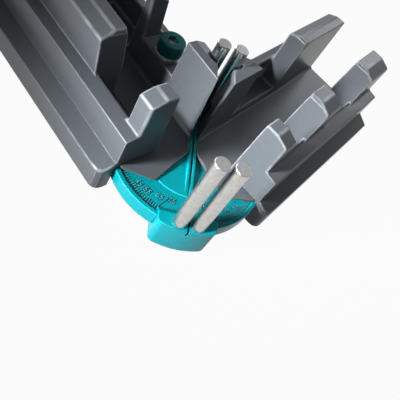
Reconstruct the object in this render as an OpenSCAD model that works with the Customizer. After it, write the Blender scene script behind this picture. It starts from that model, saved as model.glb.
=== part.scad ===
// Mitre box with two swinging arms, a scale deck and four steel saw-guide pins.
// Origin: pivot axis of the arms on the bench plane. +Y runs back along the saw line, +Z is up.

/* [Arms] */

// Angle of each arm behind the straight line, as it stands at rest
arm_rest = 49.3; // [48:0.1:50]
// How far each arm opens from rest towards straight
swing_open = 36; // [24:1:36]
// Length of an arm from the pivot axis to its end face
arm_reach = 181; // [172:1:200]
// Distance of the front wall's near end from the pivot axis
arm_start = 13; // [12.5:0.5:15]
// Height of the channel floor above the bench
floor_z = 24; // [23.6:0.1:25]
// Height of the wall tops above the bench
wall_top = 81.3; // [78:0.1:90]
// Distance of the rear fence face behind the pivot axis
fence_back = 7.5; // [6:0.5:9]
// Distance of the front wall's inner face in front of the pivot axis, at the floor
front_in = 24.2; // [23:0.1:26]
// How much further out the front wall's inner face stands at its top
front_draft = 2.9; // [1:0.1:4]
// Width of the flat top of the front wall
front_flat = 9.8; // [8:0.1:11]
// Width of the flat top of the rear wall
rear_flat = 8; // [7:0.1:9]
// Width of the sloped outer part of the front wall's top
front_slope_w = 10.6; // [9:0.1:12]
// Width of the sloped outer part of the rear wall's top
rear_slope_w = 9; // [8:0.1:10]
// Height lost across the sloped outer part of a wall's top
top_drop = 4.1; // [2:0.1:6]
// Height of the ledge half way up the outside of a wall
ledge_z = 50.5; // [49:0.1:53]
// Fall of that ledge to its outer edge
ledge_drop = 1.6; // [1:0.1:3]
// Width of the ledge on the front wall
front_ledge_w = 9; // [7:0.1:10]
// Width of the ledge on the rear wall
rear_ledge_w = 8.5; // [7:0.1:10]
// Height of the top of the skirt
skirt_top = 19.8; // [17:0.1:21]
// Rise of the slope above the skirt
skirt_rise = 5.9; // [4:0.1:8]
// Width of the slope above the front skirt
front_skirt_w = 11.1; // [9:0.1:12]
// Width of the slope above the rear skirt
rear_skirt_w = 10; // [8:0.1:11]
// Clear height of the skirts above the bench
skirt_lift = 0.6; // [0.5:0.1:1.5]
// Wall thickness of the hollow underside
skin = 3; // [2.5:0.1:3.5]
// Thickness of the channel floor
floor_t = 3.5; // [3:0.1:4]

/* [Notches] */

// Length of the first front finger
finger_a = 14; // [12:0.5:16]
// Distance of the second front finger's foot from the pivot axis
finger_b = 66; // [62:0.5:70]
// Right arm: length of the second front finger at its foot
finger_b_len = 27; // [24:0.5:30]
// Right arm: distance of the third front finger's foot from the pivot axis
finger_c = 143; // [136:0.5:148]
// How far a finger's near side leans back over its height
finger_lean = 5; // [3:0.5:6]
// Size of the sloped corner at the top of a finger's near side
finger_corner = 2.5; // [1:0.5:3]
// Far end of the first rear finger from the pivot axis
rear_a = 52; // [50:0.5:53]
// Left arm: near side of the post behind the lock ledge
post_a = 89; // [86:0.5:92]
// Left arm: far side of that post
post_b = 100.6; // [98:0.5:104]
// Left arm: near side of the last rear finger
rear_c = 146; // [140:0.5:150]
// Right arm: near side of the long rear finger
rear_b = 110.6; // [106:0.5:116]
// Floor height of the deep rear notches
deep_z = 29.5; // [28.5:0.5:32]
// Height of the lock ledge on the left arm
lock_z = 48.6; // [47:0.1:48.8]

/* [Base] */

// Outer radius of the deck rim
rim_r = 57.3; // [56.5:0.1:57.6]
// Radial width of the deck rim
rim_w = 3.2; // [2.5:0.1:3.5]
// Height of the rim top
rim_top = 21; // [20.8:0.1:21.2]
// Height of the rim's lower edge
rim_low = 9.2; // [9:0.1:11]
// Height of the scale surface
deck_z = 20; // [19.5:0.1:20.3]
// Thickness of the deck plate
deck_t = 3.5; // [3:0.1:3.8]
// Radius of the raised hub disc in the middle of the deck
hub_r = 34.5; // [33.5:0.5:35.5]
// Height of the hub disc
hub_z = 20.8; // [20.6:0.1:21]
// Half width of the nose block
nose_half = 20; // [18.5:0.5:20.5]
// How far the nose's round front face stands out in front of the rim
nose_out = 6.6; // [6.5:0.1:8]
// Height of the nose top
nose_z = 26; // [25:0.1:27]
// Radius of the nose's front corners seen from above
nose_corner = 5; // [3:0.5:7]
// Width of the saw slot
kerf_w = 1.6; // [1.2:0.1:2]
// Width of the whole saw rib
rib_w = 5.2; // [4.6:0.1:5.2]
// Clear distance between the rib and the arms
rib_gap = 0.4; // [0.3:0.05:0.5]
// How far the plinth under the deck stands back from the rim's outer face
plinth_in = 7.3; // [6.5:0.1:8]
// Height of the tray's underside above the bench
tray_lift = 1; // [0.8:0.1:1.5]
// Top of the tray's floor plate
tray_top = 4; // [3.6:0.1:4.1]

/* [Guide pins] */

// Diameter of the guide pins
pin_d = 10; // [9.6:0.1:10]
// Clear width for the saw blade between two pins
blade_gap = 2.56; // [2.4:0.01:2.7]
// Distance of the front pins' axes in front of the rim's outer face
front_pin_out = 0.5; // [0:0.1:0.5]
// Distance of the rear pins' axes inside the rim's outer face
rear_pin_in = 15.9; // [15:0.1:17]
// Height of the pin tops
pin_top = 93; // [88:0.5:100]

/* [Lock] */

// Distance of the lock bolt from the pivot axis, along the arm
lock_p = 70; // [68.5:0.1:71]
// Distance of the lock bolt behind the pivot axis, across the arm
lock_q = 16.6; // [16.2:0.1:17.6]
// Diameter of the lock bolt
bolt_d = 8; // [7:0.5:8]
// Diameter of the knob cap
knob_d = 19.3; // [18.4:0.1:20.4]
// Height of the knob cap
knob_h = 10.5; // [9.6:0.1:12]
// Height of the hexagon nut under the cap
nut_h = 2.8; // [2.4:0.1:3.2]

/* [Linkage] */

// Pitch radius of the hub sectors and of the pinions
gear_r = 14; // [13.8:0.1:14]
// Diameter of the pivot post
post_d = 10; // [9:0.1:10]
// Diameter of a pinion axle
axle_d = 4; // [3.5:0.1:4.5]
// Thickness of a hub plate
hub_t = 3.2; // [2.8:0.1:3.4]

/* [Hidden] */
$fn = 64;
eps = 0.01;
far = 400;

// places that follow the deck rim
nose_r = rim_r + nose_out;
plinth_r = rim_r - plinth_in;
pin_front = rim_r + front_pin_out;
pin_rear = rim_r - rear_pin_in;

// running gaps
slide_gap = 0.4;
run_gap = 0.05;
thread_gap = 0.08;

// channel section, measured across the arm, front side positive
q_in_low = front_in;
q_in_top = front_in + front_draft;
q_flat = q_in_top + front_flat;
q_wall = q_flat + front_slope_w;
q_step = q_wall + front_ledge_w;
q_skirt = q_step + front_skirt_w;
r_in = -fence_back;
r_flat = r_in - rear_flat;
r_wall = r_flat - rear_slope_w;
r_step = r_wall - rear_ledge_w;
r_skirt = r_step - rear_skirt_w;
chamfer_z = wall_top - top_drop;
ledge_low = ledge_z - ledge_drop;
slope_top = skirt_top + skirt_rise;
cave_top = ledge_low - skin;
under_floor = floor_z - floor_t;
left_bay = (arm_reach - finger_b) / 3;
first_bay = rear_a / 2;
foot_step = 1.6;
foot_h = 1.8;

// clearances around the base
rim_clear = 0.7;
clear_r = rim_r + rim_clear;
slab_low = rim_top + slide_gap;
saw_clear = rib_w / 2 + rib_gap;
saw_lean = 3;
pin_clear = 1.8;

// pointer edge and its fold line on the floor, along and across the arm
tip_p = -5.6;
tip_q = 37.4;
edge_p = 11.5;
edge_q = 53;
edge_run = 1.2;
fold_p = -1.3;
fold_q = 4.7;
fold_turn = 14.5;
fold_fall = 11;

// levels of the linkage
left_low = tray_top + 0.6;
right_low = left_low + hub_t + slide_gap;
pinion_low = left_low + 0.2;
pinion_high = right_low + hub_t - 0.2;
deck_low = deck_z - deck_t;
foot_low = 13;
foot_top = 16.5;

// tongue of a hub plate, along and across the arm
tongue_mid = 3;
tongue_w = 16;
riser_in = plinth_r - 4;
riser_out = rim_r - 0.3;
tongue_end = clear_r + 16;
boss_p = clear_r + 7.5;
boss_qs = [-1, 7];
boss_d = 9;
screw_d = 3.5;
screw_head = 6.5;
screw_head_h = 2.2;

// gear teeth
teeth = 20;
pitch_deg = 360 / teeth;
tooth_up = 1.15;
tooth_down = 1.65;
tooth_tip = 0.42;
tooth_root = 1.05;
sector_teeth = 3;
mesh_deg = 30;
pinion_x = gear_r;
pinion_y = -2 * gear_r * cos(mesh_deg);
sector_ring = gear_r - tooth_down - 0.4;

// rim openings for the tongues, as angles from the front line
window_a = 84;
window_b = 149;

// lock slot in the base, as angles from the front line
lock_r = norm([lock_p, lock_q]);
lock_deg = 90 + arm_rest + atan2(lock_q, lock_p);
lock_in = clear_r + 0.3;
lock_out = lock_r + 11;
lock_top = 9;
lock_shelf = 6;
head_d = 14;
head_h = 3;
head_low = 2.6;
slot_w = bolt_d + 0.8;
slot_wide = head_d + 1;
slot_end = 1.5;
lobe_end = 9;
rear_lift = lock_top + 0.6;
lobe_clear_r = lock_out + 1.2;
bolt_top = lock_z + 1.2 + nut_h + 8;
washer_d = 20;
washer_h = 1;
nut_lift = 0.3;
socket_d = 9.2;
socket_deep = 5;
bolt_boss_d = 16;

// wall of the plinth under the deck
plinth_w = 2.4;

// how far in front of the pivot axis the saw rib reaches its full height
rib_level = hub_r * 0.35;

// back of the nose block, start of the ramp behind the pins and its slope
nose_break = -pin_front + pin_d / 2 + 0.4;
nose_back = nose_break + nose_z - deck_z;
nose_ramp = 45;
kerf_deep = 5;

// pins and screws in the base
pin_x = (pin_d + blade_gap) / 2;
pin_base = tray_lift + 2;
pin_chamfer = 0.5;
post_low = 2.6;
post_top = deck_z - 2;
deck_screw_spots = plinth_r * [[-0.68, -0.56], [0.68, -0.56], [0, 0.59]];
screw_boss_d = 8;
pad_d = 11;
pad_inset = 2.3;
pad_front = rim_r - pad_inset;
pad_side = 0.65 * nose_half;
pad_spots = [[0, 0], [-pad_side, -pad_front], [pad_side, -pad_front],
             plinth_r * [-0.6, 0.6], plinth_r * [0.6, 0.6]];
glide_in = 9;
glide_p = arm_reach - glide_in;
glide_d = 9;

// stands an arm's own frame (along, across, up) in the rest pose
module right_side() {
    rotate([0, 0, arm_rest]) children();
}

module left_side() {
    mirror([1, 0, 0]) rotate([0, 0, arm_rest]) children();
}

// extrudes an outline of (across, up) points along an arm
module along(from, to, outline) {
    translate([from, 0, 0])
        rotate([90, 0, 90])
            linear_extrude(to - from)
                polygon([for (v = outline) [-v[0], v[1]]]);
}

// extrudes an outline of (along, up) points across an arm
module across(from, to, outline) {
    translate([0, -from, 0])
        rotate([90, 0, 0])
            linear_extrude(to - from)
                polygon(outline);
}

// upright ring sector about the pivot axis, angles from the front line to the left
module ring_sector(r_from, r_to, z_from, z_to, deg_from, deg_to) {
    rotate([0, 0, -90 - deg_to])
        translate([0, 0, z_from])
            rotate_extrude(angle = deg_to - deg_from)
                translate([r_from, 0])
                    square([r_to - r_from, z_to - z_from]);
}

module wall_section() {
    along(arm_start, arm_reach, [
        [q_in_low, under_floor], [q_in_top, wall_top], [q_flat, wall_top],
        [q_wall, chamfer_z], [q_wall, ledge_z], [q_step, ledge_low], [q_step, slope_top],
        [q_skirt, skirt_top], [q_skirt, skirt_lift], [q_in_low, skirt_lift]]);
    along(-far / 10, arm_reach, [
        [r_in, under_floor], [r_in, wall_top], [r_flat, wall_top],
        [r_wall, chamfer_z], [r_wall, ledge_z], [r_step, ledge_low], [r_step, slope_top],
        [r_skirt, skirt_top], [r_skirt, skirt_lift], [r_in, skirt_lift]]);
    along(arm_start, arm_reach, [
        [q_in_low + eps, under_floor], [q_in_low + eps, floor_z],
        [r_in + foot_step, floor_z], [r_in, floor_z + foot_h], [r_in - eps, under_floor]]);
}

// floor slab over the deck with the pointer edge
module pointer_slab() {
    run = [edge_p - tip_p, edge_q - tip_q] * edge_run;
    difference() {
        translate([0, 0, slab_low])
            linear_extrude(floor_z - slab_low)
                polygon([[-far / 10, -r_wall], [tip_p - run[0], -(tip_q - run[1])],
                         [edge_p, -edge_q], [arm_start + skin, -edge_q],
                         [arm_start + skin, -r_wall]]);
        translate([fold_p, -fold_q, floor_z])
            rotate([0, 0, -90 + fold_turn])
                rotate([fold_fall, 0, 0])
                    translate([-far / 2, -far, 0])
                        cube([far, far, far]);
    }
}

// hollow underside of the walls, in bays; a bay under a notch keeps the floor above it whole
module caves(front_bays, front_open, rear_tops) {
    rear_bays = [rear_a - skin - first_bay, rear_a - skin, post_a, rear_c + skin, arm_reach - skin];
    for (i = [0 : len(front_bays) - 2]) {
        inner_top = front_open[i] ? under_floor : cave_top;
        inner_q = front_open[i] ? q_wall : q_in_low + skin;
        along(front_bays[i] + skin / 2, front_bays[i + 1] - skin / 2, [
            [q_in_low + skin, -1], [q_in_low + skin, inner_top], [inner_q, inner_top],
            [inner_q, cave_top], [q_step - skin, cave_top],
            [q_step - skin, slope_top - skin / 2], [q_skirt - skin, skirt_top - skin / 2],
            [q_skirt - skin, -1]]);
    }
    for (i = [0 : len(rear_bays) - 2])
        along(rear_bays[i] + skin / 2, rear_bays[i + 1] - skin / 2, [
            [r_in - skin, -1], [r_in - skin, rear_tops[i]], [r_step + skin, rear_tops[i]],
            [r_step + skin, min(slope_top - skin / 2, rear_tops[i])],
            [r_skirt + skin, skirt_top - skin / 2], [r_skirt + skin, -1]]);
    along(arm_start + skin, arm_reach - skin, [
        [q_in_low + skin + eps, -1], [q_in_low + skin + eps, under_floor],
        [r_in - skin - eps, under_floor], [r_in - skin - eps, -1]]);
}

// notch outline seen from the side of the wall: near finger's far side to next finger's near side
function notch(from, to, low) = [
    [from, low], [to, low], [to + finger_lean, wall_top - finger_corner],
    [to + finger_lean + finger_corner, wall_top + 1], [from, wall_top + 1]];

// one notch in the front wall; below the ledge only the outer skin of the wall is left
module front_notch(from, to) {
    across(q_in_low - 1, q_step, notch(from, to, ledge_z));
    across(q_in_low - 1, q_wall - skin, [
        [from, floor_z], [to, floor_z], [to, ledge_z + eps], [from, ledge_z + eps]]);
}

// what the saw, the pins, the rib and the base need kept free of an arm
module kept_free() {
    rotate([0, 0, -arm_rest]) {
        translate([saw_clear, 0, floor_z])
            rotate([0, saw_lean, 0])
                translate([-far, -far, -far])
                    cube([far, 2 * far, 2 * far]);
        translate([pin_x, pin_rear, 0])
            cylinder(h = far, d = pin_d + 2 * pin_clear);
    }
    rotate([0, 0, swing_open - arm_rest])
        translate([saw_clear - far, -far, -1])
            cube([far, far, far]);
    translate([0, 0, -1])
        cylinder(h = slab_low + 1, r = clear_r, $fn = 128);
    intersection() {
        translate([0, 0, -1])
            cylinder(h = rear_lift + 1, r = lobe_clear_r, $fn = 128);
        translate([-far / 2, -q_wall, -1])
            cube([far, far, far]);
    }
}

module floor_bosses() {
    for (q = boss_qs)
        translate([boss_p, -q, foot_top])
            cylinder(h = under_floor - foot_top + eps, d = boss_d);
}

module screw_pilots() {
    for (q = boss_qs)
        translate([boss_p, -q, foot_top - 1])
            cylinder(h = floor_z - foot_top - 0.4, d = screw_d);
}

module glide_seats() {
    for (q = [q_skirt - skin - glide_d / 2, r_skirt + skin + glide_d / 2])
        translate([glide_p, -q, skirt_lift])
            cylinder(h = skirt_top - skirt_lift, d = glide_d - 2);
}

module left_arm() {
    color("dimgray") left_side() {
        difference() {
            union() {
                difference() {
                    union() {
                        wall_section();
                        pointer_slab();
                    }
                    caves([arm_start + skin, finger_b, finger_b + left_bay, finger_b + 2 * left_bay, arm_reach - skin],
                          [true, false, false, false],
                          [cave_top, lock_z - skin, deep_z - skin, cave_top]);
                    front_notch(arm_start + finger_a, finger_b);
                    across(r_step - 1, r_in + 1, [
                        [rear_a, lock_z], [post_a, lock_z], [post_a + finger_lean, wall_top + 1],
                        [rear_a, wall_top + 1]]);
                    across(r_wall, r_in + 1, notch(post_b, rear_c, deep_z));
                }
                floor_bosses();
                glide_seats();
                translate([lock_p, lock_q, rear_lift])
                    cylinder(h = lock_z - rear_lift, d = bolt_boss_d);
            }
            kept_free();
            screw_pilots();
            translate([lock_p, lock_q, -1])
                cylinder(h = far, d = bolt_d + 2 * slide_gap);
        }
    }
}

module right_arm() {
    color("dimgray") right_side() {
        difference() {
            union() {
                difference() {
                    union() {
                        wall_section();
                        pointer_slab();
                    }
                    caves([arm_start + skin, finger_b, finger_b + finger_b_len, finger_c,
                           arm_reach - skin],
                          [true, false, true, false],
                          [cave_top, deep_z - skin, deep_z - skin, cave_top]);
                    front_notch(arm_start + finger_a, finger_b);
                    front_notch(finger_b + finger_b_len, finger_c);
                    across(r_wall, r_in + 1, notch(rear_a, rear_b, deep_z));
                    across(r_step - 1, r_wall + eps, [
                        [rear_a, ledge_z], [rear_b, ledge_z], [rear_b, wall_top + 1],
                        [rear_a, wall_top + 1]]);
                }
                floor_bosses();
                glide_seats();
            }
            kept_free();
            screw_pilots();
        }
    }
}

// one gear tooth standing out along +X
module tooth_outline() {
    polygon([[gear_r - tooth_down - 0.3, -tooth_root], [gear_r + tooth_up, -tooth_tip],
             [gear_r + tooth_up, tooth_tip], [gear_r - tooth_down - 0.3, tooth_root]]);
}

// hub plate of an arm in the arm's frame; shift moves the teeth by half a pitch
module hub_plate(low, shift) {
    sector_mid = -(90 + arm_rest - mesh_deg);
    difference() {
        union() {
            translate([0, 0, low]) {
                cylinder(h = hub_t, r = sector_ring);
                linear_extrude(hub_t) {
                    intersection() {
                        circle(r = gear_r - tooth_down);
                        polygon([[0, 0],
                                 for (a = [0, 2 * pitch_deg, (sector_teeth + 1) * pitch_deg])
                                     2 * gear_r * [cos(sector_mid + a), sin(sector_mid + a)]]);
                    }
                    for (i = [0 : sector_teeth - 1])
                        rotate(sector_mid + (i + 0.5 + shift) * pitch_deg)
                            tooth_outline();
                }
                translate([0, -tongue_mid - tongue_w / 2, 0])
                    cube([riser_out, tongue_w, hub_t]);
            }
            translate([riser_in, -tongue_mid - tongue_w / 2, low])
                cube([riser_out - riser_in, tongue_w, foot_top - low]);
            translate([riser_in, -tongue_mid - tongue_w / 2, foot_low])
                cube([tongue_end - riser_in, tongue_w, foot_top - foot_low]);
        }
        translate([0, 0, low - 1])
            cylinder(h = hub_t + 2, d = post_d + 2 * run_gap);
        for (q = boss_qs)
            translate([boss_p, -q, foot_low - 1])
                cylinder(h = far, d = screw_d);
    }
}

module hub_screws() {
    for (q = boss_qs)
        translate([boss_p, -q, 0]) {
            translate([0, 0, foot_low - screw_head_h])
                cylinder(h = screw_head_h, d = screw_head);
            translate([0, 0, foot_low - eps])
                cylinder(h = floor_z - 2 - foot_low, d = screw_d);
        }
}

module left_hub() {
    color("silver") left_side() hub_plate(left_low, 0);
}

module right_hub() {
    color("silver") right_side() hub_plate(right_low, 0.5);
}

module left_hub_screws() {
    color("gray") left_side() hub_screws();
}

module right_hub_screws() {
    color("gray") right_side() hub_screws();
}

module arm_glides() {
    for (q = [q_skirt - skin - glide_d / 2, r_skirt + skin + glide_d / 2])
        translate([glide_p, -q, 0])
            cylinder(h = skirt_lift, d = glide_d - 2);
}

module left_glides() {
    color("black") left_side() arm_glides();
}

module right_glides() {
    color("black") right_side() arm_glides();
}

// pinion with a tooth at the given angle
module pinion(x, angle) {
    translate([x, pinion_y, pinion_low])
        linear_extrude(pinion_high - pinion_low)
            difference() {
                union() {
                    circle(r = gear_r - tooth_down);
                    for (i = [0 : teeth - 1])
                        rotate(angle + i * pitch_deg) tooth_outline();
                }
                circle(d = axle_d + 2 * run_gap);
            }
}

module pinion_left() {
    color("ivory") pinion(-pinion_x, 90 - mesh_deg);
}

module pinion_right() {
    color("ivory") pinion(pinion_x, 90 + mesh_deg + pitch_deg / 2);
}

module pinion_axles() {
    color("silver")
        for (x = [-pinion_x, pinion_x])
            translate([x, pinion_y, tray_lift + 1])
                cylinder(h = deck_low + 1.5 - tray_lift - 1, d = axle_d);
}

module pivot_post() {
    color("silver")
        translate([0, 0, post_low])
            cylinder(h = post_top - post_low, d = post_d);
}

module pin_pair(y) {
    for (x = [-pin_x, pin_x])
        translate([x, y, pin_base])
            rotate_extrude()
                polygon([[0, 0], [pin_d / 2, 0], [pin_d / 2, pin_top - pin_base - pin_chamfer],
                         [pin_d / 2 - pin_chamfer, pin_top - pin_base], [0, pin_top - pin_base]]);
}

module front_pins() {
    color("gainsboro") pin_pair(-pin_front);
}

module rear_pins() {
    color("silver") pin_pair(pin_rear);
}

module pin_holes() {
    for (x = [-pin_x, pin_x], y = [-pin_front, pin_rear])
        translate([x, y, pin_base])
            cylinder(h = far, d = pin_d);
}

// outline of the nose block seen from above, with round front corners
module nose_outline() {
    corner_x = nose_half - nose_corner;
    corner_y = -sqrt(pow(nose_r - nose_corner, 2) - pow(corner_x, 2));
    reach = nose_r * 2 / (nose_r - nose_corner);
    for (side = [-1, 1])
        translate([side * corner_x, corner_y])
            circle(r = nose_corner);
    translate([-nose_half, corner_y])
        square([2 * nose_half, nose_back - corner_y]);
    intersection() {
        circle(r = nose_r, $fn = 128);
        polygon([[-corner_x, corner_y], reach * [-corner_x, corner_y],
                 reach * [corner_x, corner_y], [corner_x, corner_y]]);
    }
}

module nose_block() {
    difference() {
        translate([0, 0, tray_lift])
            linear_extrude(nose_z - tray_lift)
                nose_outline();
        translate([0, nose_break, nose_z])
            rotate([-nose_ramp, 0, 0])
                translate([-far / 2, 0, 0])
                    cube([far, far, far]);
        translate([-kerf_w / 2, -far, nose_z - kerf_deep])
            cube([kerf_w, far, far]);
    }
}

module base_tray() {
    color("darkturquoise")
        difference() {
            union() {
                translate([0, 0, tray_lift])
                    cylinder(h = tray_top - tray_lift, r = plinth_r, $fn = 128);
                ring_sector(plinth_r - plinth_w, plinth_r, tray_lift, deck_low, -window_a + 6, window_a - 6);
                ring_sector(plinth_r - plinth_w, plinth_r, tray_lift, deck_low, window_b + 3, 360 - window_b - 3);
                nose_block();
                for (x = [-pin_x, pin_x])
                    translate([x, pin_rear, tray_lift])
                        cylinder(h = deck_low - tray_lift, d = pin_d + 5);
                for (s = deck_screw_spots)
                    translate([s[0], s[1], tray_lift])
                        cylinder(h = deck_low - tray_lift, d = screw_boss_d);
                ring_sector(plinth_r - 2, lock_out, tray_lift, tray_top,
                            lock_deg - swing_open - lobe_end, lock_deg + lobe_end);
                ring_sector(lock_in, lock_out, tray_lift, lock_top,
                            lock_deg - swing_open - lobe_end, lock_deg + lobe_end);
            }
            pin_holes();
            ring_sector(lock_r - slot_w / 2, lock_r + slot_w / 2, -1, lock_top + 1,
                        lock_deg - swing_open - slot_end - 3.4, lock_deg + slot_end + 3.4);
            ring_sector(lock_r - slot_wide / 2, lock_r + slot_wide / 2, -1, lock_shelf,
                        lock_deg - swing_open - slot_end - 5.6, lock_deg + slot_end + 5.6);
            translate([0, 0, post_low])
                cylinder(h = far, d = post_d);
            for (x = [-pinion_x, pinion_x])
                translate([x, pinion_y, tray_lift + 1])
                    cylinder(h = far, d = axle_d);
            for (s = deck_screw_spots)
                translate([s[0], s[1], -1]) {
                    cylinder(h = far, d = screw_d);
                    cylinder(h = tray_lift + 1 + screw_head_h, d = screw_head);
                }
            for (s = pad_spots)
                translate([s[0], s[1], -1])
                    cylinder(h = tray_lift + 2, d = pad_d);
        }
}

// saw rib with its sloped front end
module saw_rib() {
    difference() {
        rotate([90, 0, 90])
            translate([0, 0, -rib_w / 2])
                linear_extrude(rib_w)
                    polygon([[-hub_r + 1, hub_z - 1], [-hub_r + 1, hub_z], [-rib_level, floor_z - 0.2],
                             [pin_rear - pin_d / 2 - 2, floor_z - 0.2],
                             [pin_rear - pin_d / 2 - 2, hub_z - 1]]);
        translate([-kerf_w / 2, -far / 2, hub_z - 0.6])
            cube([kerf_w, far, far]);
    }
}

module base_deck() {
    color("darkturquoise")
        difference() {
            union() {
                ring_sector(hub_r - 2, rim_r - rim_w + 0.5, deck_low, deck_z, -window_a, window_a);
                ring_sector(rim_r - rim_w, rim_r, rim_low, rim_top, -window_a, window_a);
                translate([0, 0, deck_low])
                    cylinder(h = hub_z - deck_low, r = hub_r);
                ring_sector(hub_r - 2, rim_r - rim_w + 0.5, deck_low, deck_z, window_b, 360 - window_b);
                ring_sector(rim_r - rim_w, rim_r, rim_low, rim_top, window_b, 360 - window_b);
                saw_rib();
            }
            translate([-nose_half, -far, -1])
                cube([2 * nose_half, far + nose_back, far]);
            pin_holes();
            translate([0, 0, -1])
                cylinder(h = post_top + 1, d = post_d);
            for (x = [-pinion_x, pinion_x])
                translate([x, pinion_y, -1])
                    cylinder(h = deck_low + 2.5, d = axle_d);
            for (s = deck_screw_spots)
                translate([s[0], s[1], -1])
                    cylinder(h = deck_z, d = screw_d);
        }
}

module deck_screws() {
    color("gray")
        for (s = deck_screw_spots)
            translate([s[0], s[1], tray_lift]) {
                cylinder(h = screw_head_h, d = screw_head);
                translate([0, 0, screw_head_h - eps])
                    cylinder(h = deck_z - 1 - tray_lift - screw_head_h, d = screw_d);
            }
}

module base_feet() {
    color("black")
        for (s = pad_spots)
            translate([s[0], s[1], 0])
                cylinder(h = tray_lift + 1, d = pad_d);
}

module lock_bolt() {
    color("silver") left_side()
        translate([lock_p, lock_q, head_low]) {
            cylinder(h = head_h, d = head_d);
            translate([0, 0, head_h - eps])
                cylinder(h = bolt_top - head_low - head_h, d = bolt_d);
        }
}

module lock_washer() {
    color("silver") left_side()
        translate([lock_p, lock_q, lock_z])
            difference() {
                cylinder(h = washer_h, d = washer_d);
                translate([0, 0, -1])
                    cylinder(h = far, d = bolt_d + 2 * slide_gap);
            }
}

module lock_nut() {
    color("silver") left_side()
        translate([lock_p, lock_q, lock_z + washer_h + nut_lift])
            difference() {
                cylinder(h = nut_h, d = knob_d + 1.6, $fn = 6);
                translate([0, 0, -1])
                    cylinder(h = far, d = bolt_d + 2 * thread_gap);
            }
}

module lock_knob() {
    color("teal") left_side()
        translate([lock_p, lock_q, lock_z + washer_h + nut_lift + nut_h])
            difference() {
                rotate_extrude()
                    polygon([[0, 0], [knob_d / 2, 0], [knob_d / 2, knob_h - 0.8],
                             [knob_d / 2 - 0.8, knob_h], [0, knob_h]]);
                translate([0, 0, -1])
                    cylinder(h = far, d = bolt_d + 2 * thread_gap);
                translate([0, 0, knob_h - socket_deep])
                    cylinder(h = far, d = socket_d, $fn = 6);
            }
}

base_tray();
base_deck();
front_pins();
rear_pins();
pivot_post();
deck_screws();
base_feet();
pinion_axles();
pinion_left();
pinion_right();
left_arm();
right_arm();
left_hub();
right_hub();
left_hub_screws();
right_hub_screws();
left_glides();
right_glides();
lock_bolt();
lock_washer();
lock_nut();
lock_knob();
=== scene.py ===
import math

import bmesh
import bpy
from mathutils import Matrix, Vector
from mathutils.bvhtree import BVHTree
from mathutils.geometry import delaunay_2d_cdt


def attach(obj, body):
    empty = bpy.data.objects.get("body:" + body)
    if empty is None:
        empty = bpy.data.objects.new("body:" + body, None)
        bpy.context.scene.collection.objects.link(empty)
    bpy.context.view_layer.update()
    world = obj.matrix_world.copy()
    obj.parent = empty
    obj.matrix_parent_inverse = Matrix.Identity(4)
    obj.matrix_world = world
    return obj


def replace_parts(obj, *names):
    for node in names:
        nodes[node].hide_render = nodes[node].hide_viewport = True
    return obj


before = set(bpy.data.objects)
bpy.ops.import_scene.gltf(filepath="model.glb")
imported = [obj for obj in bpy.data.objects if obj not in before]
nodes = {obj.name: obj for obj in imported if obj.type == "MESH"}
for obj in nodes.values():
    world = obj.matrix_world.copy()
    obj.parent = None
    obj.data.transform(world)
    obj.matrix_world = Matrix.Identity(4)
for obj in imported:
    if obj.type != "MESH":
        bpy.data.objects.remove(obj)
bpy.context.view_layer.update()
scene = bpy.context.scene

MM = 0.001
EDGE_MARK = "rounding"

# places of the CAD model that the looks follow
ARM_REST = math.radians(49.3)
ARM_END, SKIRT_FRONT, SKIRT_REAR = 180 * MM, 56 * MM, -40 * MM
PIN_X, PIN_R = 6.28 * MM, 5.3 * MM
FRONT_PIN_Y, REAR_PIN_Y = -57.8 * MM, 41.4 * MM
DECK_Z = 20.0 * MM
NOSE_BACK, NOSE_BREAK, NOSE_TOP = -44 * MM, -52.4 * MM, 25.9 * MM


# camera: the photograph's viewing angle, with its picture taken as 400 x 400
CAM_TURN = ((0.9052035, -0.2674029, -0.3303063),
            (-0.0023263, 0.7741015, -0.6330572),
            (0.4249720, 0.5738140, 0.7000974))
CAM_PLACE = (-93.9609, -224.2848, 294.8683)
CAM_LENS, CAM_SENSOR = 46.2366, 36
CAM_SHIFT = (-0.09, -0.14)
CAM_CLIP = (0.005, 50)


def make_camera():
    data = bpy.data.cameras.new("camera")
    data.sensor_width = CAM_SENSOR
    data.lens = CAM_LENS
    data.shift_x, data.shift_y = CAM_SHIFT
    data.clip_start, data.clip_end = CAM_CLIP
    cam = bpy.data.objects.new("camera", data)
    rows = [list(r) + [p * MM] for r, p in zip(CAM_TURN, CAM_PLACE)]
    cam.matrix_world = Matrix(rows + [[0, 0, 0, 1]])
    scene.collection.objects.link(cam)
    scene.camera = cam


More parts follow.
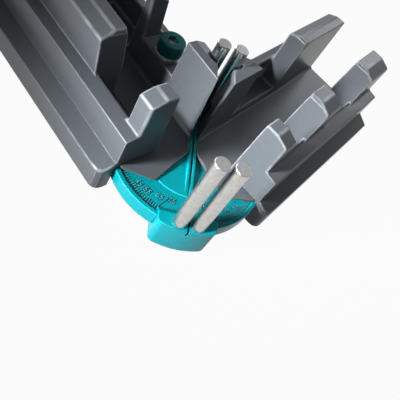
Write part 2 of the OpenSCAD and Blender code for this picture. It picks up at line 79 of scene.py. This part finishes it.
# node helpers
class Tree:
    """A material's node tree with short calls for adding and wiring nodes."""

    def __init__(self, name):
        self.mat = bpy.data.materials.new(name)
        self.mat.use_nodes = True
        self.tree = self.mat.node_tree
        self.bsdf = self.tree.nodes["Principled BSDF"]
        self.out = self.tree.nodes["Material Output"]

    def node(self, kind, **values):
        made = self.tree.nodes.new("ShaderNode" + kind)
        for key, value in values.items():
            setattr(made, key, value)
        return made

    def link(self, out, into):
        self.tree.links.new(out, into)

    def shade(self, out, socket):
        self.link(out, self.bsdf.inputs[socket])

    def set(self, socket, value):
        self.bsdf.inputs[socket].default_value = value

    def place(self):
        return self.node("TexCoord").outputs["Object"]

    def noise(self, where, scale, detail=2.0, rough=0.5):
        made = self.node("TexNoise")
        made.inputs["Scale"].default_value = scale
        made.inputs["Detail"].default_value = detail
        made.inputs["Roughness"].default_value = rough
        self.link(where, made.inputs["Vector"])
        return made.outputs["Fac"]

    def spread(self, value, low, high, to_low=0.0, to_high=1.0):
        made = self.node("MapRange")
        for name, number in (("From Min", low), ("From Max", high),
                             ("To Min", to_low), ("To Max", to_high)):
            made.inputs[name].default_value = number
        self.link(value, made.inputs["Value"])
        return made.outputs["Result"]

    def tint(self, factor, first, second):
        made = self.node("Mix", data_type="RGBA")
        for slot, colour in ((6, first), (7, second)):
            if isinstance(colour, tuple):
                made.inputs[slot].default_value = (*colour, 1)
            else:
                self.link(colour, made.inputs[slot])
        self.link(factor, made.inputs[0])
        return made.outputs[2]

    def math(self, how, first, second=0.0):
        made = self.node("Math", operation=how)
        for slot, value in ((0, first), (1, second)):
            if isinstance(value, (int, float)):
                made.inputs[slot].default_value = value
            else:
                self.link(value, made.inputs[slot])
        return made.outputs[0]

    def bump(self, height, strength, distance):
        made = self.node("Bump")
        made.inputs["Strength"].default_value = strength
        made.inputs["Distance"].default_value = distance
        self.link(height, made.inputs["Height"])
        return made.outputs["Normal"]

    def edges(self):
        """The mark that rounded() leaves on rounded edges."""
        return self.node("Attribute", attribute_name=EDGE_MARK).outputs["Fac"]


# noise patterns: scale per metre, detail, roughness
CLOUD, EDGE_HIGHLIGHT_PATCHES, SMEAR, GRAIN = (380, 3, 0.55), (180, 4), (160, 2, 0.5), (2600, 2, 0.5)
LINES, BLOTCH, SPECK = (1.0, 3, 0.6), (420, 4, 0.65), (700, 4, 0.7)
PLATED, PLATED_GRAIN = (120, 5, 0.7), (900, 3)
RUBBER_TONE, RUBBER_GRAIN = (200, 3), (1400, 2)
SCALE_DARK_TONE, SCALE_DARK_GRAIN = (500, 3), (2400, 2)
# the middle part of a noise's values, where most of them lie
MIDDLE = (0.3, 0.7)
# steel rod: stretch of its lines, step of the rings on its ends, and which faces are ends
LINE_STRETCH = (900, 900, 60)
RING_STEP = 1.3 * MM
END_FACING = (0.6, 0.9)


def darker(tone, share):
    return tuple(c * share for c in tone)


def moulded_plastic(name, deep, light, edge, rough, grain, gloss=0.5):
    """Moulded plastic: two close tones, a fine spark-eroded grain, and a painted highlight on the
    rounded edges.
    """
    t = Tree(name)
    where = t.place()
    body = t.tint(t.spread(t.noise(where, *CLOUD), *MIDDLE), deep, light)
    # painted highlight: the rounded edge strips take the lighter edge colour, stronger in some
    # patches than others
    highlight_strength = t.spread(t.noise(where, *EDGE_HIGHLIGHT_PATCHES), *MIDDLE, 0.35, 0.95)
    second_tone_share = t.math("MULTIPLY", t.edges(), highlight_strength)
    t.shade(t.tint(second_tone_share, body, edge), "Base Color")
    smear = t.noise(where, *SMEAR)
    t.shade(t.spread(smear, 0.2, 0.8, rough - 0.02, rough + 0.02), "Roughness")
    t.shade(t.bump(t.noise(where, *GRAIN), grain, 0.06 * MM), "Normal")
    t.set("Specular IOR Level", gloss)
    return t.mat


def turned_steel(name, tone, dark, rough, pin_y):
    """Drawn steel rod: fine lines along the shaft, rings and specks on the cut ends."""
    t = Tree(name)
    where = t.place()
    split = t.node("SeparateXYZ")
    t.link(where, split.inputs[0])
    stretch = t.node("Mapping")
    stretch.inputs["Scale"].default_value = LINE_STRETCH
    t.link(where, stretch.inputs["Vector"])
    lines = t.noise(stretch.outputs[0], *LINES)
    blotch = t.noise(where, *BLOTCH)
    shape = t.node("NewGeometry")
    facing = t.node("SeparateXYZ")
    t.link(shape.outputs["Normal"], facing.inputs[0])
    end = t.spread(facing.outputs["Z"], *END_FACING)
    side = t.math("SUBTRACT", t.math("ABSOLUTE", split.outputs["X"]), PIN_X)
    ahead = t.math("SUBTRACT", split.outputs["Y"], pin_y)
    radius = t.math("SQRT", t.math("ADD", t.math("MULTIPLY", side, side),
                                   t.math("MULTIPLY", ahead, ahead)))
    rings = t.math("SINE", t.math("MULTIPLY", radius, 2 * math.pi / RING_STEP))
    speck = t.noise(where, *SPECK)
    turned = t.math("ADD", t.spread(speck, 0.35, 0.75, 0.25, 0.75),
                    t.math("MULTIPLY", rings, 0.22))
    second_tone_share = t.math("MULTIPLY", end, turned)
    shaft = t.tint(t.spread(blotch, *MIDDLE), tone, darker(tone, 0.74))
    t.shade(t.tint(second_tone_share, shaft, dark), "Base Color")
    t.set("Metallic", 1.0)
    matt = t.spread(lines, *MIDDLE, rough - 0.05, rough + 0.07)
    t.shade(t.math("ADD", matt, t.math("MULTIPLY", end, 0.2)), "Roughness")
    height = t.math("ADD", t.math("MULTIPLY", lines, 0.5),
                    t.math("MULTIPLY", end, t.math("ADD", rings, speck)))
    t.shade(t.bump(height, 0.25, 0.03 * MM), "Normal")
    return t.mat


def plain_steel(name, tone, rough):
    """Zinc-plated steel with faint cloudy patches."""
    t = Tree(name)
    where = t.place()
    cloud = t.noise(where, *PLATED)
    t.shade(t.tint(t.spread(cloud, *MIDDLE), tone, darker(tone, 0.72)), "Base Color")
    t.set("Metallic", 1.0)
    t.shade(t.spread(cloud, *MIDDLE, rough, rough + 0.14), "Roughness")
    t.shade(t.bump(t.noise(where, *PLATED_GRAIN), 0.12, 0.05 * MM), "Normal")
    return t.mat


def matt_coat(name, tones, noise, rough, grain, strength, depth):
    """A matt surface of two close tones with a fine grain, for rubber and the dark scale marks."""
    t = Tree(name)
    where = t.place()
    t.shade(t.tint(t.noise(where, *noise), *tones), "Base Color")
    t.set("Roughness", rough)
    t.shade(t.bump(t.noise(where, *grain), strength, depth), "Normal")
    return t.mat


# plastics: deep tone, light tone, painted highlight colour of the rounded edges, roughness, grain,
# gloss
ARM = moulded_plastic("arm_grey", (0.118, 0.127, 0.139), (0.128, 0.137, 0.150),
                      (0.36, 0.37, 0.39), 0.31, 0.12, 0.22)
BASE = moulded_plastic("base_teal", (0.000, 0.345, 0.395), (0.000, 0.360, 0.412),
                       (0.04, 0.56, 0.61), 0.28, 0.08, 0.2)
KNOB = moulded_plastic("knob_teal", (0.000, 0.102, 0.102), (0.000, 0.120, 0.120),
                       (0.01, 0.20, 0.20), 0.34, 0.12, 0.3)
NUT = moulded_plastic("nut_grey", (0.50, 0.52, 0.52), (0.58, 0.60, 0.60),
                      (0.75, 0.76, 0.76), 0.40, 0.10)
GEAR = moulded_plastic("gear_ivory", (0.66, 0.63, 0.55), (0.72, 0.69, 0.61),
                       (0.8, 0.78, 0.72), 0.42, 0.10)
# painted highlight: the pale teal of the lit flank of the raised ticks and of the lit top of the
# raised numbers
SCALE_HIGHLIGHT = moulded_plastic("scale_highlight", (0.04, 0.46, 0.51), (0.06, 0.50, 0.55),
                       (0.20, 0.66, 0.70), 0.30, 0.06, 0.2)
FRONT = turned_steel("front_pin_steel", (0.66, 0.65, 0.63), (0.30, 0.29, 0.28), 0.36, FRONT_PIN_Y)
REAR = turned_steel("rear_pin_steel", (0.66, 0.67, 0.67), (0.28, 0.28, 0.27), 0.17, REAR_PIN_Y)
STEEL = plain_steel("zinc_steel", (0.62, 0.62, 0.62), 0.28)
FOOT = matt_coat("foot_rubber", ((0.012, 0.012, 0.012), darker((0.012, 0.012, 0.012), 1.8)),
                 RUBBER_TONE, 0.85, RUBBER_GRAIN, 0.3, 0.1 * MM)
# dark teal of the scale: painted shade on the ticks, painted shadow at the rim's foot and round the
# numbers, and the colour of the index line
SCALE_DARK = matt_coat("scale_dark_teal", ((0.0, 0.016, 0.020), (0.0, 0.030, 0.036)),
                SCALE_DARK_TONE, 0.5, SCALE_DARK_GRAIN, 0.1, 0.04 * MM)

LOOKS = {"base_tray": BASE, "base_deck": BASE, "front_pins": FRONT, "rear_pins": REAR,
         "left_arm": ARM, "right_arm": ARM, "lock_knob": KNOB, "lock_nut": NUT,
         "pinion_left": GEAR, "pinion_right": GEAR, "base_feet": FOOT,
         "left_glides": FOOT, "right_glides": FOOT}


def dress(node, mat):
    obj = nodes[node]
    obj.data.materials.clear()
    obj.data.materials.append(mat)


for each in nodes:
    dress(each, LOOKS.get(each, STEEL))


# soft edges: a copy of a node's mesh with its sharp edges rounded stands for the node
SHARP = math.radians(18)                    # edges less sharp than this stay as they are
BLEND_FLAT = math.cos(math.radians(20))     # flat faces that share a normal
BLEND_STRIP = math.cos(math.radians(50))    # faces that a rounded strip may turn to
IN_LINE = 0.94                              # edges that run on in one line
ROOM = 0.44                                 # share of a neighbouring edge that a rounding may take
STRAY = 0.45                                # share of the radius that a point may leave the skin by
NEAR = 16 * MM                              # edges this near a stray point get a smaller radius
TRIES, SOFT_TRIES = 8, 2
EASE = 0.4                                  # how much smaller that radius gets
LEAST = 0.08 * MM
WELD, FLATTEN = 0.04 * MM, math.radians(0.5)
SEGMENTS = 3
CORNER, CORNER_SEGMENTS = 6 * MM, 5
FLAT, STRIP = 0, 1
QUAD = 4


def edge_room(edge):
    """How far an edge can be rounded before the rounding meets the next edge."""
    room = 1.0
    for vert in edge.verts:
        here = (edge.other_vert(vert).co - vert.co).normalized()
        for other in vert.link_edges:
            if other is edge:
                continue
            there = other.other_vert(vert).co - vert.co
            slant = abs(here.dot(there.normalized()))
            if slant < IN_LINE:
                room = min(room, ROOM * there.length * math.sqrt(1 - slant * slant))
    return room


def evaluated(obj):
    """A mesh of an object as it stands after its modifiers."""
    bpy.context.view_layer.update()
    depsgraph = bpy.context.evaluated_depsgraph_get()
    return bpy.data.meshes.new_from_object(obj.evaluated_get(depsgraph))


def bevelled(source, top_radius):
    """The mesh of a bmesh after rounding its edges by their weights."""
    mesh = bpy.data.meshes.new("draft")
    source.to_mesh(mesh)
    for part in ("flat", "strip"):
        mesh.materials.append(bpy.data.materials.get(part) or bpy.data.materials.new(part))
    draft = bpy.data.objects.new("draft", mesh)
    scene.collection.objects.link(draft)
    bevel = draft.modifiers.new("round", "BEVEL")
    bevel.limit_method = "WEIGHT"
    bevel.width = top_radius
    bevel.segments = SEGMENTS
    bevel.use_clamp_overlap = False
    bevel.material = STRIP
    done = evaluated(draft)
    bpy.data.objects.remove(draft)
    bpy.data.meshes.remove(mesh)
    return done


def mark_edges(mesh):
    """Mark the points inside the rounded strips with 1, for the painted highlight on the rounded
    edges.
    """
    inside = [1.0] * len(mesh.vertices)
    for face in mesh.polygons:
        if face.material_index != STRIP:
            for v in face.vertices:
                inside[v] = 0.0
    mesh.attributes.new(EDGE_MARK, "FLOAT", "POINT").data.foreach_set("value", inside)
    mesh.polygons.foreach_set("material_index", [FLAT] * len(mesh.polygons))


def cut_face(bm, face):
    """Replace a many-cornered flat face by triangles that stay inside its outline."""
    corners = list(face.verts)
    origin, up = face.calc_center_median(), face.normal.copy()
    right = up.orthogonal().normalized()
    ahead = up.cross(right)
    flat = [Vector(((v.co - origin).dot(right), (v.co - origin).dot(ahead))) for v in corners]
    rim = [(i, (i + 1) % len(corners)) for i in range(len(corners))]
    points, _, triangles, sources, _, _ = delaunay_2d_cdt(flat, rim, [], 2, 1e-7)
    verts = [corners[came[0]] if came else bm.verts.new(origin + right * p.x + ahead * p.y)
             for p, came in zip(points, sources)]
    bm.faces.remove(face)
    for triangle in triangles:
        trio = [verts[i] for i in triangle]
        if len(set(trio)) == len(trio) and bm.faces.get(trio) is None:
            made = bm.faces.new(trio)
            made.normal_update()
            if made.normal.dot(up) < 0:
                made.normal_flip()


def cut_flats(mesh):
    """Faces with many corners become triangles, so that none is filled across its outline."""
    bm = bmesh.new()
    bm.from_mesh(mesh)
    for face in [f for f in bm.faces if len(f.verts) > QUAD]:
        cut_face(bm, face)
    loose = [v for v in bm.verts if not v.link_faces]
    bmesh.ops.delete(bm, geom=loose, context="VERTS")
    bm.to_mesh(mesh)
    bm.free()


def even_normals(mesh):
    """Flat faces keep their own normal up to the rim, and the strips turn between them."""
    around = [[] for _ in mesh.vertices]
    for face in mesh.polygons:
        for v in face.vertices:
            around[v].append(face)
    normals = []
    for face in mesh.polygons:
        strip = face.material_index == STRIP
        for v in face.vertices:
            flats = [f for f in around[v] if f.material_index != STRIP]
            if strip:
                flats = [f for f in flats if f.normal.dot(face.normal) > BLEND_STRIP]
                if flats:
                    flats = [max(flats, key=lambda f: f.normal.dot(face.normal))]
                else:
                    flats = [f for f in around[v] if f.normal.dot(face.normal) > BLEND_STRIP]
            else:
                flats = [f for f in flats if f.normal.dot(face.normal) > BLEND_FLAT]
            total = Vector((0, 0, 0))
            for f in flats or [face]:
                total += f.normal * f.area
            normals.append(total.normalized())
    mesh.shade_smooth()
    mesh.normals_split_custom_set(normals)


def near_edge(point, edge, whole):
    """Whether a point lies near an edge's ends, or near the whole edge."""
    if any((point - v.co).length < NEAR or (point - v.co).xy.length < NEAR / 4
           for v in edge.verts):
        return True
    start, end = (v.co for v in edge.verts)
    along = (end - start).normalized()
    step = min(max((point - start).dot(along), 0.0), (end - start).length)
    return whole and (start + along * step - point).length < NEAR / 3


def stray_points(mesh, skin, limit):
    """Points of a rounded mesh that left the skin, and corners of triangles that cut across it."""
    found = [v.co.copy() for v in mesh.vertices if skin.find_nearest(v.co)[3] > limit]
    mesh.calc_loop_triangles()
    for tri in mesh.loop_triangles:
        corners = [mesh.vertices[i].co for i in tri.vertices]
        if skin.find_nearest((corners[0] + corners[1] + corners[2]) / 3)[3] > limit:
            found.extend(c.copy() for c in corners)
    return found


def welded(node, corner):
    """A node's mesh with its flat triangles joined, and the edges that corner() names rounded."""
    bm = bmesh.new()
    bm.from_mesh(nodes[node].data)
    bmesh.ops.remove_doubles(bm, verts=bm.verts, dist=WELD)
    bmesh.ops.dissolve_limit(bm, angle_limit=FLATTEN, use_dissolve_boundaries=False,
                             verts=bm.verts, edges=bm.edges, delimit=set())
    if corner:
        bmesh.ops.bevel(bm, geom=[e for e in bm.edges if corner(e)], offset=CORNER,
                        segments=CORNER_SEGMENTS, profile=0.5, affect="EDGES",
                        clamp_overlap=True)
    return bm


def add_piece(name, mesh, mat, body):
    """An object of the scene that rides on a body."""
    mesh.materials.clear()
    mesh.materials.append(mat)
    obj = bpy.data.objects.new(name, mesh)
    scene.collection.objects.link(obj)
    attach(obj, body)
    return obj


def rounded(node, body, mat, radius_of, top_radius, corner=None):
    """radius_of(edge) gives the wanted radius of an edge, at most top_radius.
    Where a rounding leaves the node's surface, the edges near that place get less or none."""
    bm = welded(node, corner)
    skin = BVHTree.FromBMesh(bm)
    weight = bm.edges.layers.float.new("bevel_weight_edge")
    for edge in bm.edges:
        if len(edge.link_faces) == 2 and edge.calc_face_angle() > SHARP:
            wanted = min(radius_of(edge), edge_room(edge))
            edge[weight] = wanted / top_radius if wanted > LEAST else 0.0
    for attempt in range(TRIES):
        done = bevelled(bm, top_radius)
        cut_flats(done)
        astray = stray_points(done, skin, STRAY * top_radius)
        if not astray:
            break
        for edge in bm.edges:
            if edge[weight] and any(near_edge(p, edge, attempt > SOFT_TRIES) for p in astray):
                edge[weight] *= EASE if attempt < SOFT_TRIES else 0.0
    bm.free()
    even_normals(done)
    mark_edges(done)
    done.name = node + "_soft"
    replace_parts(add_piece(node + "_soft", done, mat, body), node)


def middle(edge):
    return (edge.verts[0].co + edge.verts[1].co) / 2


def steepness(edge):
    return abs((edge.verts[1].co - edge.verts[0].co).normalized().z)


def arm_place(point):
    """A point's distance along its arm from the pivot, and across it to the outside."""
    return (abs(point.x) * math.cos(ARM_REST) + point.y * math.sin(ARM_REST),
            abs(point.x) * math.sin(ARM_REST) - point.y * math.cos(ARM_REST))


UNDERSIDE, NOTCH_LOW, FINGER_LOW = 22 * MM, 28 * MM, 40 * MM
UPRIGHT, PLUMB = 0.8, 0.99
ARM_TOP_R, ARM_R, ARM_INNER_R = 2.4 * MM, 1.9 * MM, 0.8 * MM
SKIRT_LOW, SKIRT_OUT, SKIRT_NEAR = 15 * MM, 66 * MM, 40 * MM


def arm_radius(edge):
    """Arms: larger radii on upright edges of the fingers and in the notch bottoms,
    none underneath and round the far end."""
    spot = middle(edge)
    low = min(v.co.z for v in edge.verts)
    across = arm_place(spot)[1]
    if min(arm_place(v.co)[0] for v in edge.verts) > ARM_END:
        return 0.0
    outside = across > SKIRT_FRONT or across < SKIRT_REAR
    if spot.z < UNDERSIDE and not (outside and edge.is_convex):
        return 0.0
    if not edge.is_convex:
        return ARM_TOP_R if low > NOTCH_LOW else ARM_INNER_R
    if steepness(edge) > UPRIGHT and low > FINGER_LOW:
        return ARM_TOP_R
    return ARM_R


def skirt_corner(edge):
    """The upright outer corner edge at the near end of an arm's skirt."""
    spot = middle(edge)
    along, across = arm_place(spot)
    return (edge.is_convex and steepness(edge) > PLUMB and spot.z < SKIRT_LOW
            and across > SKIRT_OUT and along < SKIRT_NEAR)


def at_pin_hole(edge):
    return any(all(math.hypot(abs(v.co.x) - PIN_X, v.co.y - y) < PIN_R for v in edge.verts)
               for y in (FRONT_PIN_Y, REAR_PIN_Y))


TRAY_TOP_R, TRAY_R, TRAY_RIM_R, KERF_R = 2.4 * MM, 1.4 * MM, 0.4 * MM, 0.25 * MM
TRAY_LOW, TRAY_OUT, KERF_HALF = 0.5 * MM, 57 * MM, 1.2 * MM
NOSE_R, NOSE_PIN_R = 2.0 * MM, 0.5 * MM
NOSE_FROM, NOSE_TO = 12 * MM, 17 * MM
SAME_LINE = 0.1 * MM


def tray_radius(edge):
    """Tray: the nose is well rounded but for its top beside the pins, the inside stays sharp."""
    spot = middle(edge)
    if at_pin_hole(edge) or spot.z < TRAY_LOW:
        return 0.0
    if spot.y > NOSE_BACK:
        return TRAY_RIM_R if math.hypot(spot.x, spot.y) > TRAY_OUT else 0.0
    aside = abs(spot.x)
    if aside < KERF_HALF:
        return KERF_R
    if aside > NOSE_TO and spot.z > DECK_Z:
        return NOSE_R
    if spot.z > NOSE_TOP:
        if abs(spot.y - NOSE_BREAK) < SAME_LINE:
            return 0.0
        share = min(max((aside - NOSE_FROM) / (NOSE_TO - NOSE_FROM), 0), 1)
        return NOSE_PIN_R + (NOSE_R - NOSE_PIN_R) * share
    return TRAY_R


DECK_R, RIB_R = 0.7 * MM, 0.3 * MM
DECK_LOW, DECK_OUT, RIB_HALF = 19 * MM, 56 * MM, 3 * MM


def deck_radius(edge):
    """Deck: rim, hub disc and saw rib."""
    spot = middle(edge)
    if at_pin_hole(edge) or (spot.z < DECK_LOW and math.hypot(spot.x, spot.y) < DECK_OUT):
        return 0.0
    return RIB_R if abs(spot.x) < RIB_HALF else DECK_R


KNOB_R, NUT_R = 0.5 * MM, 0.35 * MM

for arm, rides_on in (("left_arm", "left"), ("right_arm", "right")):
    rounded(arm, rides_on, ARM, arm_radius, ARM_TOP_R, skirt_corner)
rounded("base_tray", "base", BASE, tray_radius, TRAY_TOP_R)
rounded("base_deck", "base", BASE, deck_radius, DECK_R)
rounded("lock_knob", "knob", KNOB, lambda edge: KNOB_R, KNOB_R)
rounded("lock_nut", "knob", NUT, lambda edge: NUT_R, NUT_R)


# scale on the deck: tick lines, label numbers and the long index line
# (distances from the pivot in mm, angles from the front line in degrees)
TICK_OUT, TICK_IN, LONG_TICK_IN = 53.7, 49.6, 49.0
TICK_FROM, TICK_TO, TICK_STEP, LONG_STEP = 20, 63, 2, 10
LINE_W, RIDGE_W, RIDGE_TURN = 0.7 * MM, 0.6 * MM, 0.85
INDEX = ((51, 22.8), (38, 16.7))
MARK_TOP, MARK_SUNK, MARK_FLANK = 0.14 * MM, 0.1 * MM, 0.6
# a number's words, its distance from the pivot in mm and its angle from the front line
LABELS = (("45", 47.0, 46.7), ("55", 46.1, 37.2), ("65", 43.3, 26.7), ("75", 41.4, 15.4))
LABEL_SIZE = 5.8 * MM
# a number's layers: name, material, growth of its outline, lowest and highest point
# the dark rim layer is a painted shadow round each raised number, and the pale face layer is a
# painted highlight on its top
LAYERS = (("rim", SCALE_DARK, 0.40 * MM, -0.1 * MM, 0.12 * MM),
          ("face", SCALE_HIGHLIGHT, 0.02 * MM, -0.1 * MM, 0.34 * MM))


def at(radius, degrees, side, z=0.0):
    """A point of the deck: degrees from the front line, to the left for side -1."""
    a = math.radians(degrees)
    return Vector((side * radius * math.sin(a) * MM, -radius * math.cos(a) * MM, z))


def bar(bm, start, end, width):
    """A low bar with sloped flanks between two points of the deck."""
    along = (end - start).normalized()
    across = Vector((-along.y, along.x, 0)) * width / 2
    rings = []
    for share, z in ((1.0, DECK_Z - MARK_SUNK), (MARK_FLANK, DECK_Z + MARK_TOP)):
        rings.append([bm.verts.new(p + s * across * share + Vector((0, 0, z)))
                      for p, s in ((start, 1), (start, -1), (end, -1), (end, 1))])
    bm.faces.new(rings[1])
    bm.faces.new(list(reversed(rings[0])))
    for i in range(4):
        j = (i + 1) % 4
        bm.faces.new((rings[0][i], rings[0][j], rings[1][j], rings[1][i]))


def add_bars(bm, name, mat):
    bmesh.ops.recalc_face_normals(bm, faces=bm.faces)
    mesh = bpy.data.meshes.new(name)
    bm.to_mesh(mesh)
    bm.free()
    add_piece(name, mesh, mat, "base")


def scale_marks():
    """Dark tick lines painted as the shaded flank of raised ticks, each with a pale ridge beside it
    painted as the lit flank, a dark arc painted as the shadow at the rim's foot, and the index
    line.
    """
    marks, tick_highlights = bmesh.new(), bmesh.new()
    for side in (-1, 1):
        for d in range(TICK_FROM, TICK_TO + 1, TICK_STEP):
            inner = LONG_TICK_IN if d % LONG_STEP == 0 else TICK_IN
            beside = d + RIDGE_TURN
            before, after = d - TICK_STEP / 2, d + TICK_STEP / 2
            # painted shade: a dark bar standing for the shaded flank of the tick
            bar(marks, at(inner, d, side), at(TICK_OUT, d, side), LINE_W)
            # painted shadow: a dark arc piece along the foot of the rim
            bar(marks, at(TICK_OUT, before, side), at(TICK_OUT, after, side), LINE_W)
            # painted highlight: a pale bar beside the tick standing for its lit flank
            bar(tick_highlights, at(inner, beside, side), at(TICK_OUT, beside, side), RIDGE_W)
        bar(marks, at(*INDEX[0], side), at(*INDEX[1], side), LINE_W)
    add_bars(marks, "scale_marks", SCALE_DARK)
    add_bars(tick_highlights, "scale_tick_highlights", SCALE_HIGHLIGHT)


def number_mesh(words, bold, low, high):
    """The solid of a number, grown by bold, between two heights above the deck."""
    curve = bpy.data.curves.new("number", "FONT")
    curve.body = words
    curve.size = LABEL_SIZE
    curve.extrude = (high - low) / 2
    curve.offset = bold
    curve.align_x, curve.align_y = "CENTER", "CENTER"
    text = bpy.data.objects.new("number", curve)
    scene.collection.objects.link(text)
    mesh = evaluated(text)
    bpy.data.objects.remove(text)
    mesh.transform(Matrix.Translation((0, 0, (high + low) / 2)))
    return mesh


def scale_numbers():
    """Raised numbers with a pale face of painted highlight, each on a thin dark outline of painted
    shadow.
    """
    for side, tag in ((-1, "left"), (1, "right")):
        for words, radius, degrees in LABELS:
            spot = at(radius, degrees, side, DECK_Z)
            turn = Matrix.Rotation(math.radians(side * degrees), 4, "Z")
            for part, mat, bold, low, high in LAYERS:
                mesh = number_mesh(words, bold, low, high)
                mesh.transform(Matrix.Translation(spot) @ turn)
                add_piece("scale_%s_%s_%s" % (part, tag, words), mesh, mat,
                          "base")


scale_marks()
scale_numbers()


# studio: pale floor that shows white, white surround, three soft lamps
FLOOR_HALF, FLOOR_GLOW, PAPER = 20, 0.96, 0.25
FILL = 0.085                # what the surround lights the object with
WALL_TOP = (0.3, 0.5)       # between these heights the white wall turns into the ceiling
CEILING = 0.12
COOL = (0.93, 0.97, 1.0)
# name, place, target, size, watts, beam in degrees
LAMPS = (("key", (-0.68, -0.32, 0.33), (0.045, -0.035, 0.07), (0.17, 0.17), 0.43, 20),
         ("back", (0.60, 0.74, 0.56), (0.05, 0.05, 0.04), (0.5, 0.3), 2.8, 180),
         ("rim", (-0.44, 0.99, 0.30), (0.0, 0.05, 0.04), (0.6, 0.4), 4.0, 180))


def seen_white(tree):
    """1 for rays that show the white background: to the camera, in gloss and through glass."""
    path = tree.nodes.new("ShaderNodeLightPath")
    most = path.outputs["Is Camera Ray"]
    for name in ("Is Glossy Ray", "Is Transmission Ray"):
        pick = tree.nodes.new("ShaderNodeMath")
        pick.operation = "MAXIMUM"
        tree.links.new(most, pick.inputs[0])
        tree.links.new(path.outputs[name], pick.inputs[1])
        most = pick.outputs[0]
    return most


def white_floor():
    bm = bmesh.new()
    bmesh.ops.create_grid(bm, x_segments=1, y_segments=1, size=FLOOR_HALF)
    mesh = bpy.data.meshes.new("floor")
    bm.to_mesh(mesh)
    bm.free()
    floor = bpy.data.objects.new("floor", mesh)
    scene.collection.objects.link(floor)
    t = Tree("floor_white")
    t.tree.nodes.remove(t.bsdf)
    paper = t.node("BsdfDiffuse")
    paper.inputs["Color"].default_value = (PAPER, PAPER, PAPER, 1)
    glow = t.node("Emission")
    mix = t.node("MixShader")
    t.link(t.math("MULTIPLY", seen_white(t.tree), FLOOR_GLOW), mix.inputs[0])
    t.link(paper.outputs[0], mix.inputs[1])
    t.link(glow.outputs[0], mix.inputs[2])
    t.link(mix.outputs[0], t.out.inputs["Surface"])
    mesh.materials.append(t.mat)


def surround():
    world = bpy.data.worlds.new("studio")
    scene.world = world
    world.use_nodes = True
    tree = world.node_tree
    back = tree.nodes["Background"]
    where = tree.nodes.new("ShaderNodeTexCoord")
    split = tree.nodes.new("ShaderNodeSeparateXYZ")
    tree.links.new(where.outputs["Generated"], split.inputs[0])
    wall = tree.nodes.new("ShaderNodeMapRange")
    for name, number in (("From Min", WALL_TOP[0]), ("From Max", WALL_TOP[1]),
                         ("To Min", 1.0), ("To Max", CEILING)):
        wall.inputs[name].default_value = number
    tree.links.new(split.outputs["Z"], wall.inputs["Value"])
    pick = tree.nodes.new("ShaderNodeMapRange")
    pick.inputs["To Min"].default_value = FILL
    tree.links.new(seen_white(tree), pick.inputs["Value"])
    tree.links.new(wall.outputs["Result"], pick.inputs["To Max"])
    tree.links.new(pick.outputs["Result"], back.inputs["Strength"])
    back.inputs["Color"].default_value = (1, 1, 1, 1)


def lamp(name, place, target, size, power, beam):
    data = bpy.data.lights.new(name, "AREA")
    data.spread = math.radians(beam)
    data.shape = "RECTANGLE"
    data.size, data.size_y = size
    data.energy = power
    data.color = COOL
    obj = bpy.data.objects.new(name, data)
    obj.location = place
    obj.rotation_euler = (Vector(target) - Vector(place)).to_track_quat("-Z", "Y").to_euler()
    scene.collection.objects.link(obj)


make_camera()
white_floor()
surround()
for each in LAMPS:
    lamp(*each)

scene.view_settings.view_transform = "Standard"
